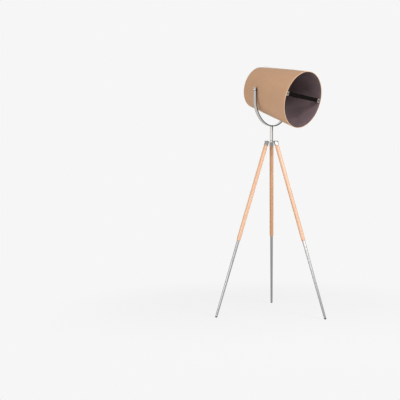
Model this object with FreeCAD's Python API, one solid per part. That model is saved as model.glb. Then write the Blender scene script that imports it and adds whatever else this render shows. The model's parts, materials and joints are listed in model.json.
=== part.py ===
import FreeCAD, Part
import math
import os

# Tripod spotlight floor lamp: a tapered drum shade that tilts in a flat-bar
# yoke, the yoke turning on a short stem over a hub with three screwed-in legs.
#
# Frame: millimetres, +Z up, origin on the floor straight below the stem. At
# rest the shade points to -Y and dips by rest_tilt; its tilt axis lies along X.
# Angles around the stem (azimuths) are counted from -Y towards +X.

# ---------------------------------------------------------------- driving sizes
# Clearances
fit_gap = 0.3           # between curved faces that lie on each other
thread_gap = 0.1        # radial, between a screw or plug and its hole
running_gap = 0.05      # radial, between a pivot shank and its bearing hole
slide_gap = 0.1         # axial, between faces that turn on each other

# Tripod
leg_count = 3
leg_azimuth = 9.0       # azimuth of the first leg
foot_radius = 371.5     # from the stem axis to where a leg axis meets the floor
hub_height = 1050.0     # floor to the top of the hub plate
socket_circle = 30.6    # from the stem axis to a leg axis, under the hub plate
hub_plate_thickness = 3.5
hub_plate_overhang = 0.6

# Leg sockets (the chrome ferrules)
socket_wall = 1.2
socket_length = 25.2    # along the leg, measured on its axis
socket_head = 10.0      # solid end above the leg, on its axis

# Wooden upper legs
upper_leg_radius = 12.0
upper_leg_taper = 9.0       # length of the rounded-off lower end
upper_leg_end_radius = 9.6

# Steel lower legs
lower_leg_length = 476.0    # floor to the wood, along the leg
lower_leg_top_radius = 8.75
lower_leg_foot_radius = 6.75
spigot_radius = 4.0         # threaded end that screws into the wood
spigot_length = 22.0
foot_reach = 7.0            # from the floor to the end of the steel
foot_collar = 1.0           # straight part of the rubber tip, below the steel

# Stem
stem_length = 87.0
stem_radius = 9.5
stem_thread_depth = 16.0    # of the tapped hole in each end
stem_screw_radius = 4.0
stem_screw_clearance = 2.0  # from a screw's end to the bottom of its hole
hub_screw_head_radius = 7.5     # across the corners of its hexagon
hub_screw_head_height = 5.3
hub_screw_hole_gap = 0.4

# Yoke
yoke_width = 20.0           # flat bar, along Y
yoke_thickness = 6.0
yoke_straight = 56.0        # straight part of each arm, below the tilt axis
yoke_above_pivot = 13.5
yoke_corner = 4.0
yoke_screw_head_radius = 7.4    # across the corners of its low hexagon
yoke_screw_head_height = 2.5

# Shade: s is the distance from the tilt axis along the shade, forward
shade_front_radius = 168.8
shade_rear_radius = 125.0
shade_front_length = 249.0  # tilt axis to the front rim
shade_rear_length = 113.6   # tilt axis to the rear rim
rest_tilt = 15.0
shade_thickness = 4.0       # laminate with its bonded dark lining
back_inset = 7.0            # rear rim to the back panel
back_thickness = 2.0
vent_count = 8
vent_width = 5.0
vent_inner_radius = 48.0
vent_outer_radius = 92.0

# Pale strip on the shade's top, lifted off the skin at its rear end
strip_front = 150.0
strip_rear = -97.0
strip_lift_start = 30.0
strip_lift = 5.0
strip_width = 14.0
strip_thickness = 1.4

# Crossbar inside the front rim
crossbar_width = 24.0
crossbar_thickness = 3.0
crossbar_setback = 5.0      # front rim to the bar's front face
crossbar_rise = 15.4        # above the shade's axis
crossbar_roll = 5.0         # the -X end is the higher one
clip_thickness = 1.5
clip_length = 21.0
clip_wall_leg = 15.0
clip_screw_inset = 11.0     # from the wall to the clip screw
clip_screw_radius = 2.0
clip_screw_head_radius = 4.2
clip_screw_head_height = 2.6

# Tilt pivot
pivot_radius = 3.0
pivot_hole_gap = 0.2
pivot_spacer_length = 11.6
pivot_spacer_radius = 6.5   # across the corners of its hexagon
cap_nut_radius = 6.3        # across the corners of its hexagon
cap_nut_hex_height = 7.0
cap_nut_dome_radius = 5.4
cap_nut_dome_height = 5.2
pivot_head_radius = 5.7
pivot_head_height = 4.0

# Lamp holder carrier, a strip across the shade behind the tilt axis
carrier_back = -14.0        # s of its front face
carrier_thickness = 2.0
carrier_width = 20.0
carrier_ear_thickness = 2.5
carrier_ear_front = 12.0
carrier_pad = 60.0          # square part that carries the lamp holder

# Lamp holder
holder_skirt_radius = 19.8
holder_skirt_length = 22.0
holder_body_radius = 21.5
holder_body_length = 34.0
holder_cord_radius = 3.6
holder_ring_radius = 27.0   # across the corners of its grip
holder_ring_sides = 12
holder_ring_length = 8.0
bulb_thread_radius = 13.3
thread_length = 25.0        # rim to the floor of the threaded bore
contact_length = 16.0
contact_width = 5.0
contact_height = 2.5

# Cord gland in the back panel
gland_bore_radius = 3.3
gland_sleeve_radius = 6.0
gland_sleeve_length = 9.0   # inside the panel
gland_flange_radius = 10.5  # across the corners of its hexagon
gland_flange_length = 3.0

# ---------------------------------------------------------------- derived sizes
X_AXIS = FreeCAD.Vector(1, 0, 0)
Y_AXIS = FreeCAD.Vector(0, 1, 0)
Z_AXIS = FreeCAD.Vector(0, 0, 1)
ORIGIN = FreeCAD.Vector(0, 0, 0)

hub_underside = hub_height - hub_plate_thickness
leg_tilt = math.atan2(foot_radius - socket_circle, hub_underside)
leg_run = math.hypot(foot_radius - socket_circle, hub_underside)
socket_bore_radius = upper_leg_radius + thread_gap
socket_radius = socket_bore_radius + socket_wall
leg_top = leg_run - socket_head
hub_plate_radius = socket_circle + socket_radius / math.cos(leg_tilt) + hub_plate_overhang

stem_top = hub_height + stem_length
yoke_underside = stem_top + slide_gap

shade_taper = (shade_front_radius - shade_rear_radius) / (shade_front_length + shade_rear_length)
back_plane = -shade_rear_length + back_inset


def skin_radius(s):
    """Outer radius of the shade at s."""
    return shade_rear_radius + shade_taper * (s + shade_rear_length)


def lining_radius(s):
    """Inner radius of the shade at s."""
    return skin_radius(s) - shade_thickness


spacer_end = skin_radius(0.0) + pivot_spacer_length
arm_inner = spacer_end + slide_gap
arm_outer = arm_inner + yoke_thickness
pivot_height = yoke_underside + arm_outer + yoke_straight


# ---------------------------------------------------------------- shape helpers
def turned(profile):
    """Solid of revolution about Z from (radius, height) corners, in order."""
    corners = [FreeCAD.Vector(radius, 0, height) for radius, height in profile]
    face = Part.Face(Part.makePolygon(corners + corners[:1]))
    return face.revolve(ORIGIN, Z_AXIS, 360)


def turned_edges(edges):
    """Solid of revolution about Z from connected edges in the XZ plane."""
    return Part.Face(Part.Wire(edges)).revolve(ORIGIN, Z_AXIS, 360)


def flat_point(radius, height):
    """Point of a profile in the XZ plane."""
    return FreeCAD.Vector(radius, 0, height)


def line(start, end):
    """Straight edge between two (radius, height) points."""
    return Part.LineSegment(flat_point(*start), flat_point(*end)).toShape()


def slope(start, end):
    """The same edge as a spline, which keeps a long slim cone light to facet."""
    return line(start, end).toNurbs().Edges[0]


def arc(start, middle, end):
    """Round edge through three (radius, height) points."""
    return Part.Arc(flat_point(*start), flat_point(*middle), flat_point(*end)).toShape()


def rod(radius, bottom, top):
    """Round bar on the Z axis."""
    return Part.makeCylinder(radius, top - bottom, FreeCAD.Vector(0, 0, bottom))


def tube(outer, inner, bottom, top):
    """Round tube on the Z axis."""
    return rod(outer, bottom, top).cut(rod(inner, bottom, top))


def cross_rod(radius, start, end):
    """Round bar along X, from x = start to x = end."""
    low, high = min(start, end), max(start, end)
    return Part.makeCylinder(radius, high - low, FreeCAD.Vector(low, 0, 0), X_AXIS)


def prism(corner_radius, sides, bottom, top):
    """Regular prism on the Z axis."""
    turns = [2 * math.pi * side / sides for side in range(sides)]
    corners = [
        FreeCAD.Vector(corner_radius * math.cos(turn), corner_radius * math.sin(turn), bottom)
        for turn in turns
    ]
    face = Part.Face(Part.makePolygon(corners + corners[:1]))
    return face.extrude(FreeCAD.Vector(0, 0, top - bottom))


def hexagon(corner_radius, bottom, top):
    """Hexagonal bar on the Z axis."""
    return prism(corner_radius, 6, bottom, top)


def block(x_range, y_range, z_range):
    """Box between three (low, high) pairs."""
    size = [high - low for low, high in (x_range, y_range, z_range)]
    return Part.makeBox(*size, FreeCAD.Vector(x_range[0], y_range[0], z_range[0]))


def shade_cone(radius_at, rear, front, inset=0.0):
    """Solid cone along the shade whose radius is radius_at(s) - inset."""
    return turned([
        (0, rear),
        (radius_at(rear) - inset, rear),
        (radius_at(front) - inset, front),
        (0, front),
    ])


def shade_wall(radius_at, outer_inset, inner_inset, rear, front):
    """Conical wall along the shade between two insets from radius_at(s)."""
    return turned([
        (radius_at(rear) - outer_inset, rear),
        (radius_at(front) - outer_inset, front),
        (radius_at(front) - inner_inset, front),
        (radius_at(rear) - inner_inset, rear),
    ])


def fused(shapes):
    """One solid from touching shapes."""
    whole = shapes[0].multiFuse(shapes[1:]) if len(shapes) > 1 else shapes[0]
    return whole.removeSplitter()


def on_both_sides(shape):
    """A shape built on +X together with its copy turned to -X."""
    other = shape.copy()
    other.rotate(ORIGIN, Z_AXIS, 180)
    return [shape, other]


# ---------------------------------------------------------------- placements
def leg_place(index):
    """Leg frame: +Z up the leg, starting where its axis meets the floor."""
    lean = FreeCAD.Placement(
        FreeCAD.Vector(0, -foot_radius, 0),
        FreeCAD.Rotation(X_AXIS, -math.degrees(leg_tilt)),
    )
    turn = FreeCAD.Rotation(Z_AXIS, leg_azimuth + index * 360.0 / leg_count)
    return FreeCAD.Placement(ORIGIN, turn).multiply(lean)


def shade_place():
    """Shade frame: +Z forward along the shade, +Y up, origin on the tilt axis."""
    return FreeCAD.Placement(
        FreeCAD.Vector(0, 0, pivot_height),
        FreeCAD.Rotation(X_AXIS, 90 + rest_tilt),
    )


def pivot_place():
    """Yoke-side frame at the tilt axis, square to the row."""
    return FreeCAD.Placement(FreeCAD.Vector(0, 0, pivot_height), FreeCAD.Rotation())


def placed(shape, placement):
    """Copy of a shape moved into the row's frame."""
    moved = shape.copy()
    moved.Placement = placement.multiply(moved.Placement)
    return moved


def save(node, shapes, placement=FreeCAD.Placement()):
    """Write one node, made of one or more solids."""
    solids = [placed(shape, placement) for shape in shapes]
    whole = solids[0] if len(solids) == 1 else Part.makeCompound(solids)
    whole.exportStep("parts/" + node + ".step")


# ---------------------------------------------------------------- tripod
def socket_cup(index):
    """Cup for a leg's top, in the row's frame, still too long at its upper end."""
    mouth = leg_run - socket_length
    cup = rod(socket_radius, mouth, leg_run + socket_radius)
    return placed(cup.cut(rod(socket_bore_radius, mouth, leg_top + thread_gap)), leg_place(index))


def hub():
    """Round plate with three leaning sockets welded level under it."""
    plate = rod(hub_plate_radius, hub_underside, hub_height)
    reach = 2 * (socket_circle + socket_radius)
    above = block((-reach, reach), (-reach, reach), (hub_underside, hub_height + reach))
    cups = [socket_cup(index).cut(above) for index in range(leg_count)]
    hole = rod(stem_screw_radius + hub_screw_hole_gap, hub_underside, hub_height)
    return fused([plate.cut(hole)] + cups)


def upper_leg():
    """Round wooden rod, tapered at its lower end."""
    bottom = lower_leg_length
    body = turned([
        (0, bottom),
        (upper_leg_end_radius, bottom),
        (upper_leg_radius, bottom + upper_leg_taper),
        (upper_leg_radius, leg_top),
        (0, leg_top),
    ])
    return body.cut(rod(spigot_radius + thread_gap, bottom, bottom + spigot_length + thread_gap))


def lower_leg():
    """Tapered steel leg with the threaded spigot that carries the wood."""
    foot = (lower_leg_foot_radius, foot_reach)
    head = (lower_leg_top_radius, lower_leg_length)
    body = turned_edges([
        line((0, foot_reach), foot),
        slope(foot, head),
        line(head, (0, lower_leg_length)),
        line((0, lower_leg_length), (0, foot_reach)),
    ])
    return fused([body, rod(spigot_radius, lower_leg_length, lower_leg_length + spigot_length)])


def foot_tip(index):
    """Rubber tip under a steel leg, tapered and cut flat where it stands."""
    radius = lower_leg_foot_radius
    tip = turned([
        (0, foot_reach - foot_collar - radius),
        (radius / 2, foot_reach - foot_collar - radius),
        (radius, foot_reach - foot_collar),
        (radius, foot_reach),
        (0, foot_reach),
    ])
    tip = placed(tip, leg_place(index))
    span = 2 * (foot_radius + radius)
    return tip.cut(block((-span, span), (-span, span), (-span, 0)))


# ---------------------------------------------------------------- stem
def stem():
    """Thick tube between hub and yoke, tapped at both ends."""
    return tube(stem_radius, stem_screw_radius + thread_gap, hub_height, stem_top)


def hub_screw():
    """Hexagon screw that holds the stem to the hub from below."""
    head = hexagon(hub_screw_head_radius, hub_underside - hub_screw_head_height, hub_underside)
    end = hub_height + stem_thread_depth - stem_screw_clearance
    return fused([head, rod(stem_screw_radius, hub_underside, end)])


def yoke_screw():
    """Low-headed screw that the yoke turns on, driven into the stem."""
    dish = arm_inner - math.sqrt(arm_inner ** 2 - yoke_screw_head_radius ** 2)
    seat = yoke_underside + yoke_thickness + dish + slide_gap
    head = hexagon(yoke_screw_head_radius, seat, seat + yoke_screw_head_height)
    end = stem_top - stem_thread_depth + stem_screw_clearance
    return fused([head, rod(stem_screw_radius, end, seat)])


# ---------------------------------------------------------------- yoke
def yoke_outline(radius, top):
    """Filled U in the XZ plane: half disc of a radius below two straight sides."""
    centre = pivot_height - yoke_straight
    left, right = (-radius, centre), (radius, centre)
    edges = [
        line(left, (-radius, top)),
        line((-radius, top), (radius, top)),
        line((radius, top), right),
        arc(right, (0, centre - radius), left),
    ]
    return Part.Face(Part.Wire(edges))


def yoke():
    """U of flat bar with two pivot holes and the swivel hole in its foot."""
    top = pivot_height + yoke_above_pivot
    bar = yoke_outline(arm_outer, top).cut(yoke_outline(arm_inner, top))
    bar.translate(FreeCAD.Vector(0, -yoke_width / 2, 0))
    solid = bar.extrude(FreeCAD.Vector(0, yoke_width, 0)).Solids[0]
    corners = [
        edge for edge in solid.Edges
        if abs(edge.BoundBox.ZMin - top) < 1e-6
        and abs(edge.BoundBox.ZMax - top) < 1e-6
        and edge.BoundBox.YLength < 1e-6
    ]
    solid = solid.makeFillet(yoke_corner, corners)
    pivot_hole = placed(cross_rod(pivot_radius + running_gap, -arm_outer, arm_outer), pivot_place())
    reach = 2 * yoke_thickness
    foot_hole = rod(stem_screw_radius + running_gap, yoke_underside - reach, yoke_underside + reach)
    return solid.cut(pivot_hole).cut(foot_hole)


# ---------------------------------------------------------------- shade
def pivot_hole():
    """Cutter for the two pivot holes, right across the shade."""
    reach = shade_front_radius
    return cross_rod(pivot_radius + pivot_hole_gap, -reach, reach)


def shade_shell():
    """Wall of the shade, a cut cone of laminate with its lining."""
    wall = turned([
        (skin_radius(-shade_rear_length), -shade_rear_length),
        (skin_radius(shade_front_length), shade_front_length),
        (lining_radius(shade_front_length), shade_front_length),
        (lining_radius(-shade_rear_length), -shade_rear_length),
    ])
    return wall.cut(pivot_hole())


def back_panel():
    """Flat panel with radial vents that closes the shade's rear."""
    front = back_plane + back_thickness
    panel = shade_cone(lining_radius, back_plane, front, fit_gap)
    for index in range(vent_count):
        slot = block((vent_inner_radius, vent_outer_radius),
                     (-vent_width / 2, vent_width / 2), (back_plane, front))
        slot.rotate(ORIGIN, Z_AXIS, index * 360.0 / vent_count)
        panel = panel.cut(slot)
    return panel.cut(rod(gland_sleeve_radius + thread_gap, back_plane, front))


def strip_height(s):
    """Underside of the top strip above the shade's axis, at s."""
    lift_run = strip_lift_start - strip_rear
    share = max(0.0, (strip_lift_start - s) / lift_run)
    return skin_radius(s) + strip_lift * share * share


def top_strip():
    """Pale flat strip along the shade's top, its rear end bent up off the skin."""
    middle = (strip_lift_start + strip_rear) / 2

    def profile_point(s, rise):
        return FreeCAD.Vector(0, strip_height(s) + rise, s)

    def run(rise):
        straight = Part.LineSegment(profile_point(strip_front, rise), profile_point(strip_lift_start, rise))
        bend = Part.Arc(
            profile_point(strip_lift_start, rise),
            profile_point(middle, rise),
            profile_point(strip_rear, rise),
        )
        return [straight.toShape(), bend.toShape()]

    lower = run(0.0)
    upper = run(strip_thickness)
    ends = [
        Part.LineSegment(profile_point(s, 0.0), profile_point(s, strip_thickness)).toShape()
        for s in (strip_front, strip_rear)
    ]
    edges = Part.__sortEdges__(lower + upper + ends)
    face = Part.Face(Part.Wire(edges))
    face.translate(FreeCAD.Vector(-strip_width / 2, 0, 0))
    return face.extrude(FreeCAD.Vector(strip_width, 0, 0))


# ---------------------------------------------------------------- front crossbar
bar_front = shade_front_length - crossbar_setback
bar_back = bar_front - crossbar_thickness


def in_bar_frame(shape):
    """Turn and lift a shape from the shade's axis to the crossbar's line."""
    moved = shape.copy()
    moved.translate(FreeCAD.Vector(0, crossbar_rise, 0))
    moved.rotate(FreeCAD.Vector(0, crossbar_rise, 0), Z_AXIS, -crossbar_roll)
    return moved


def bar_half_span():
    """Half length of the chord that the bar's line makes in the lining."""
    drop = crossbar_rise * math.cos(math.radians(crossbar_roll))
    return math.sqrt(lining_radius(bar_back) ** 2 - drop ** 2)


def bar_shift():
    """How far along its own line the middle of that chord lies."""
    return crossbar_rise * math.sin(math.radians(crossbar_roll))


def clip_holes(radius):
    """Cutters for the two clip screws, right through bar and clips."""
    half = bar_half_span() - clip_screw_inset
    holes = []
    for side in (-1, 1):
        hole = rod(radius, bar_back, bar_front + clip_thickness)
        hole.translate(FreeCAD.Vector(bar_shift() + side * half, 0, 0))
        holes.append(in_bar_frame(hole))
    return holes


def front_crossbar():
    """Black flat bar across the shade's mouth."""
    reach = shade_front_radius
    half = crossbar_width / 2
    bar = in_bar_frame(block((-reach, reach), (-half, half), (bar_back, bar_front)))
    room = shade_cone(lining_radius, bar_back, bar_front, 2 * fit_gap + clip_thickness)
    bar = bar.common(room)
    for hole in clip_holes(clip_screw_radius + thread_gap):
        bar = bar.cut(hole)
    return bar


def crossbar_clip(side):
    """Angle clip between one end of the crossbar and the shade's wall."""
    reach = shade_front_radius
    half = crossbar_width / 2
    top = bar_front + clip_thickness
    foot = top - clip_wall_leg
    inner = side * (bar_half_span() - clip_length) + bar_shift()
    span = (inner, reach) if side > 0 else (-reach, inner)
    column = in_bar_frame(block(span, (-half, half), (foot, top)))
    plate = in_bar_frame(block(span, (-half, half), (bar_front, top)))
    plate = plate.common(shade_cone(lining_radius, bar_front, top, fit_gap))
    leg = shade_wall(lining_radius, fit_gap, fit_gap + clip_thickness, foot, top).common(column)
    clip = fused([plate, leg])
    for hole in clip_holes(clip_screw_radius + thread_gap):
        clip = clip.cut(hole)
    return clip


def clip_screws():
    """Screws of the two crossbar clips, driven into the bar."""
    half = bar_half_span() - clip_screw_inset
    top = bar_front + clip_thickness
    screws = []
    for side in (-1, 1):
        head = rod(clip_screw_head_radius, top, top + clip_screw_head_height)
        screw = fused([head, rod(clip_screw_radius, bar_back, top)])
        screw.translate(FreeCAD.Vector(bar_shift() + side * half, 0, 0))
        screws.append(in_bar_frame(screw))
    return screws


# ---------------------------------------------------------------- tilt pivot
ear_inner = lining_radius(carrier_back) - fit_gap - carrier_ear_thickness


def pivot_bolt():
    """Screw from inside the shade out through spacer, arm and cap nut."""
    head_top = ear_inner - slide_gap
    nut_seat = arm_outer + slide_gap
    head = hexagon(pivot_head_radius, head_top - pivot_head_height, head_top)
    head.rotate(ORIGIN, Y_AXIS, 90)
    shank = cross_rod(pivot_radius, head_top, nut_seat + cap_nut_hex_height)
    return fused([head, shank])


def pivot_spacer():
    """Hexagonal sleeve between the shade and the yoke arm, saddle-cut to the shade."""
    sleeve = hexagon(pivot_spacer_radius, lining_radius(0.0), spacer_end)
    sleeve.rotate(ORIGIN, Y_AXIS, 90)
    sleeve = sleeve.cut(cross_rod(pivot_radius + pivot_hole_gap, 0.0, spacer_end))
    reach = 4 * pivot_spacer_radius
    return sleeve.cut(shade_cone(skin_radius, -reach, reach, -fit_gap))


def cap_nut():
    """Domed chrome nut on the outer end of a pivot screw."""
    seat = arm_outer + slide_gap
    rim = seat + cap_nut_hex_height
    dome = turned([
        (0, rim),
        (cap_nut_dome_radius, rim),
        (0.8 * cap_nut_dome_radius, rim + 0.6 * cap_nut_dome_height),
        (0.3 * cap_nut_dome_radius, rim + cap_nut_dome_height),
        (0, rim + cap_nut_dome_height),
    ])
    nut = fused([hexagon(cap_nut_radius, seat, rim), dome])
    nut = nut.cut(rod(pivot_radius + thread_gap, seat, rim + thread_gap))
    nut.rotate(ORIGIN, Y_AXIS, 90)
    return nut


def lamp_carrier():
    """Strip across the shade with a pad for the lamp holder and an ear at each pivot."""
    reach = shade_front_radius
    half = carrier_width / 2
    rear = carrier_back - carrier_thickness
    room = shade_cone(lining_radius, rear, carrier_ear_front, fit_gap)
    strip = block((-reach, reach), (-half, half), (rear, carrier_back)).common(room)
    pad_half = carrier_pad / 2
    pad = block((-pad_half, pad_half), (-pad_half, pad_half), (rear, carrier_back))
    ears = block((-reach, reach), (-half, half), (rear, carrier_ear_front))
    ears = ears.cut(block((-ear_inner, ear_inner), (-half, half), (rear, carrier_ear_front)))
    ears = ears.common(room)
    carrier = fused([strip, pad] + ears.Solids)
    carrier = carrier.cut(rod(holder_skirt_radius + thread_gap, rear, carrier_back))
    return carrier.cut(pivot_hole())


# ---------------------------------------------------------------- lamp holder
holder_seat = carrier_back - carrier_thickness
holder_rim = carrier_back + holder_skirt_length
holder_back = holder_seat - holder_body_length
thread_floor = holder_rim - thread_length


def lamp_holder():
    """Moulded lamp holder: threaded skirt in front of the carrier, body behind it."""
    body = turned([
        (0, holder_back),
        (holder_body_radius, holder_back),
        (holder_body_radius, holder_seat),
        (holder_skirt_radius, holder_seat),
        (holder_skirt_radius, holder_rim),
        (0, holder_rim),
    ])
    bore = rod(bulb_thread_radius, thread_floor, holder_rim)
    cord_way = rod(holder_cord_radius, holder_back, thread_floor)
    return body.cut(bore).cut(cord_way).cut(centre_contact())


def holder_ring():
    """Threaded ring with a faceted grip that clamps the holder to the carrier."""
    front = carrier_back + holder_ring_length
    ring = prism(holder_ring_radius, holder_ring_sides, carrier_back, front)
    return ring.cut(rod(holder_skirt_radius + thread_gap, carrier_back, front))


def centre_contact():
    """Contact tongue let into the holder's floor, across the cord's way in."""
    half = contact_width / 2
    return block((-contact_length / 2, contact_length / 2), (-half, half),
                 (thread_floor - contact_height, thread_floor))


# ---------------------------------------------------------------- cord gland
def cord_gland():
    """Bush for the cord in the middle of the back panel, with a hexagonal flange."""
    flange_back = back_plane - gland_flange_length
    inside = back_plane + back_thickness + gland_sleeve_length
    flange = hexagon(gland_flange_radius, flange_back, back_plane)
    body = fused([flange, rod(gland_sleeve_radius, back_plane, inside)])
    return body.cut(rod(gland_bore_radius, flange_back, inside))


# ---------------------------------------------------------------- build
def build_tripod():
    """Nodes that stand on the floor and stay still."""
    save("hub", [hub()])
    for index in range(leg_count):
        number = str(index + 1)
        place = leg_place(index)
        save("upper_leg_" + number, [upper_leg()], place)
        save("lower_leg_" + number, [lower_leg()], place)
    save("foot_tips", [foot_tip(index) for index in range(leg_count)])
    save("stem", [stem()])
    save("hub_screw", [hub_screw()])
    save("yoke_screw", [yoke_screw()])


def build_yoke():
    """Nodes that turn on the stem."""
    save("yoke", [yoke()])


def build_shade():
    """Nodes that tilt in the yoke."""
    spacer = pivot_spacer()
    nodes = {
        "shade_shell": [shade_shell()],
        "back_panel": [back_panel()],
        "top_strip": [top_strip()],
        "front_crossbar": [front_crossbar()],
        "crossbar_clip_left": [crossbar_clip(-1)],
        "crossbar_clip_right": [crossbar_clip(1)],
        "clip_screws": clip_screws(),
        "pivot_bolts": on_both_sides(pivot_bolt()),
        "pivot_cap_nuts": on_both_sides(cap_nut()),
        "pivot_spacers": [spacer, spacer.mirror(ORIGIN, X_AXIS)],
        "lamp_carrier": [lamp_carrier()],
        "lamp_holder": [lamp_holder()],
        "holder_ring": [holder_ring()],
        "centre_contact": [centre_contact()],
        "cord_gland": [cord_gland()],
    }
    for node, solids in nodes.items():
        save(node, solids, shade_place())


os.makedirs("parts", exist_ok=True)
build_tripod()
build_yoke()
build_shade()
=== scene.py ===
"""Looks of a tripod spotlight floor lamp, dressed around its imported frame.

Sizes are in millimetres, as a workshop drawing gives them, until a mesh is made in metres.
The frame has +Z up and its origin on the floor below the stem; the shade faces -Y.
"""

import json
import logging
import math
from dataclasses import dataclass
from enum import Enum
from typing import Any, ClassVar, Optional, Sequence, Union

import bmesh
import bpy
import numpy as np
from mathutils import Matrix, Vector


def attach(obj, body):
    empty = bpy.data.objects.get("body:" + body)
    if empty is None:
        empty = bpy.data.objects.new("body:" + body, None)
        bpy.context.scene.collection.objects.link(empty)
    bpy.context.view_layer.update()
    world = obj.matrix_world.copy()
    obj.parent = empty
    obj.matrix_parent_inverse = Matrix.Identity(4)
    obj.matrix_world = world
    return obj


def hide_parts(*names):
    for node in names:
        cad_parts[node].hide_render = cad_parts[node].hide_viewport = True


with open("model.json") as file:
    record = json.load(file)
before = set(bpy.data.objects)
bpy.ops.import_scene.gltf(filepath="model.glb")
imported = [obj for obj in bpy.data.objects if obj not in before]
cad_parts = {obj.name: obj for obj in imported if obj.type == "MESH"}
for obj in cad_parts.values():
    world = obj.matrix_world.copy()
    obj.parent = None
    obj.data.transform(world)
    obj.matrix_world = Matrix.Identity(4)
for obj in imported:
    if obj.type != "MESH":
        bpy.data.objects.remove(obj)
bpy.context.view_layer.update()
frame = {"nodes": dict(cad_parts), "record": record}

LOG = logging.getLogger("lamp")
MILLIMETRE = 0.001
PIVOT_HEIGHT = 1349.522


class Body(Enum):
    """The bodies of the frame that pieces ride on."""

    STAND = "stand"
    YOKE = "yoke"
    SHADE = "shade"


class Slot(Enum):
    """The material slots of the frame's record."""

    CHROME = "chrome"
    ZINC = "zinc"
    WOOD = "wood"
    LEG_STEEL = "leg_steel"
    TIP_RUBBER = "tip_rubber"
    LAMINATE = "laminate"
    BLACK_PAINT = "black_paint"
    PALE_PAINT = "pale_paint"
    PALE_PLASTIC = "pale_plastic"
    BLACK_PLASTIC = "black_plastic"
    CONTACT_BRASS = "contact_brass"


class Close(Enum):
    """How a grid of points is closed into a skin."""

    RING_BOTH = "rows and columns both run round"
    CAPPED = "columns run round, the first and last rows are capped"


# ------------------------------------------------------------------ node graphs
class Value:
    """A number in a node graph, with the sums that the finishes use."""

    def __init__(self, graph: "Graph", socket: bpy.types.NodeSocket) -> None:
        """Keep the graph and the socket that carries the number."""
        self.graph = graph
        self.socket = socket

    def _sum(self, operation: str, first: "Number", second: "Number") -> "Value":
        """Add one Math node on two numbers."""
        return self.graph.math(operation, first, second)

    def __add__(self, other: "Number") -> "Value":
        """self + other."""
        return self._sum("ADD", self, other)

    def __radd__(self, other: "Number") -> "Value":
        """other + self."""
        return self._sum("ADD", other, self)

    def __sub__(self, other: "Number") -> "Value":
        """self - other."""
        return self._sum("SUBTRACT", self, other)

    def __rsub__(self, other: "Number") -> "Value":
        """other - self."""
        return self._sum("SUBTRACT", other, self)

    def __mul__(self, other: "Number") -> "Value":
        """self * other."""
        return self._sum("MULTIPLY", self, other)

    def __rmul__(self, other: "Number") -> "Value":
        """other * self."""
        return self._sum("MULTIPLY", other, self)


Number = Union[float, Value]
Triple = tuple[float, float, float]


def srgb(red: int, green: int, blue: int) -> tuple[float, float, float, float]:
    """Turn a colour as a screen shows it into the linear one a shader takes.

    Args:
        red, green, blue: levels from 0 to 255.

    Returns:
        Linear colour with an alpha of 1.
    """
    level = np.array([red, green, blue]) / 255.0
    linear = np.where(level <= 0.04045, level / 12.92, ((level + 0.055) / 1.055) ** 2.4)
    return (float(linear[0]), float(linear[1]), float(linear[2]), 1.0)


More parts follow.
